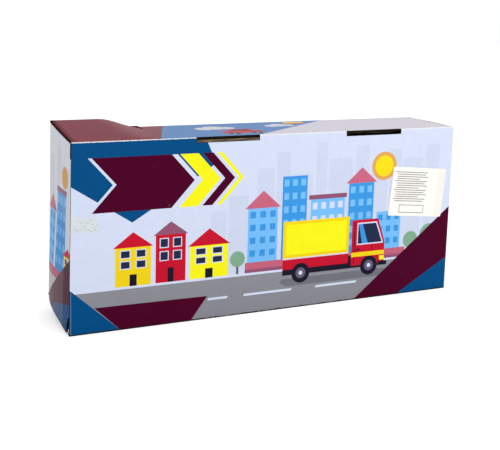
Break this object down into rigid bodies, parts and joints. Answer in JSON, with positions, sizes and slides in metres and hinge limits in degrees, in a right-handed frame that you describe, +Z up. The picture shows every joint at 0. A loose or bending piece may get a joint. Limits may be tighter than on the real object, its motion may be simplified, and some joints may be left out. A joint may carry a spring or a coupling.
{
  "type": "printed corrugated toy carton",
  "caption": "Printed corrugated toy carton lying on its long side: a glued tube with tuck-in end panels over dust flaps and an inner tray locked in slots on the top front crease.",
  "frame": {"origin": "centre of the carton's length and depth, on the table", "axes": "+X to the right along the printed front, +Y from the front to the back, +Z up"},
  "size_m": [0.3661, 0.072, 0.1629],
  "materials": {
    "printed_board": "litho printed paper, varnished, on fluted board",
    "plain_liner": "unprinted grey-white liner",
    "kraft_board": "bare kraft fluted board"
  },
  "bodies": {
    "tube": {"front_panel": "printed_board", "top_panel": "printed_board", "back_panel": "printed_board", "bottom_panel": "printed_board", "seam_flap": "plain_liner", "tray_top": "kraft_board", "tray_back": "kraft_board", "tray_bottom": "kraft_board"},
    "left_end": {"left_end_panel": "printed_board"},
    "left_tuck": {"left_tuck_flap": "plain_liner"},
    "left_top_dust": {"left_dust_flap_top": "plain_liner"},
    "left_bottom_dust": {"left_dust_flap_bottom": "plain_liner"},
    "right_end": {"right_end_panel": "printed_board"},
    "right_tuck": {"right_tuck_flap": "plain_liner"},
    "right_top_dust": {"right_dust_flap_top": "plain_liner"},
    "right_bottom_dust": {"right_dust_flap_bottom": "plain_liner"}
  },
  "joints": [
    {"name": "left_end_open", "type": "hinge", "parent": "tube", "child": "left_end", "pos_m": [-0.1792, 0.0352, 0.07749], "axis": [-0.0175, 0, -0.9998], "range_deg": [0, 170]},
    {"name": "left_tuck_fold", "type": "hinge", "parent": "left_end", "child": "left_tuck", "pos_m": [-0.1792, -0.0333, 0.07749], "axis": [-0.0175, 0, -0.9998], "range_deg": [0, 35]},
    {"name": "left_top_dust_fold", "type": "hinge", "parent": "tube", "child": "left_top_dust", "pos_m": [-0.17589, 0, 0.15814], "axis": [0.0019, 0.9939, 0.1104], "range_deg": [0, 86]},
    {"name": "left_bottom_dust_fold", "type": "hinge", "parent": "tube", "child": "left_bottom_dust", "pos_m": [-0.17853, 0, 0.00726], "axis": [-0.0031, -0.9841, -0.1777], "range_deg": [0, 86]},
    {"name": "right_end_open", "type": "hinge", "parent": "tube", "child": "right_end", "pos_m": [0.1811, 0.0352, 0.0775], "axis": [0, 0, 1], "range_deg": [0, 170]},
    {"name": "right_tuck_fold", "type": "hinge", "parent": "right_end", "child": "right_tuck", "pos_m": [0.1811, -0.0333, 0.0775], "axis": [0, 0, 1], "range_deg": [0, 35]},
    {"name": "right_top_dust_fold", "type": "hinge", "parent": "tube", "child": "right_top_dust", "pos_m": [0.1792, 0, 0.1542], "axis": [0, -1, 0], "range_deg": [0, 86]},
    {"name": "right_bottom_dust_fold", "type": "hinge", "parent": "tube", "child": "right_bottom_dust", "pos_m": [0.1792, 0, 0.0008], "axis": [0, 1, 0], "range_deg": [0, 86]}
  ],
  "couplings": [
    {"joint": "left_tuck_fold", "follows": "left_end_open", "ratio": 0.2},
    {"joint": "left_top_dust_fold", "follows": "left_end_open", "ratio": 0.5},
    {"joint": "left_bottom_dust_fold", "follows": "left_end_open", "ratio": 0.5},
    {"joint": "right_tuck_fold", "follows": "right_end_open", "ratio": 0.2},
    {"joint": "right_top_dust_fold", "follows": "right_end_open", "ratio": 0.5},
    {"joint": "right_bottom_dust_fold", "follows": "right_end_open", "ratio": 0.5}
  ]
}
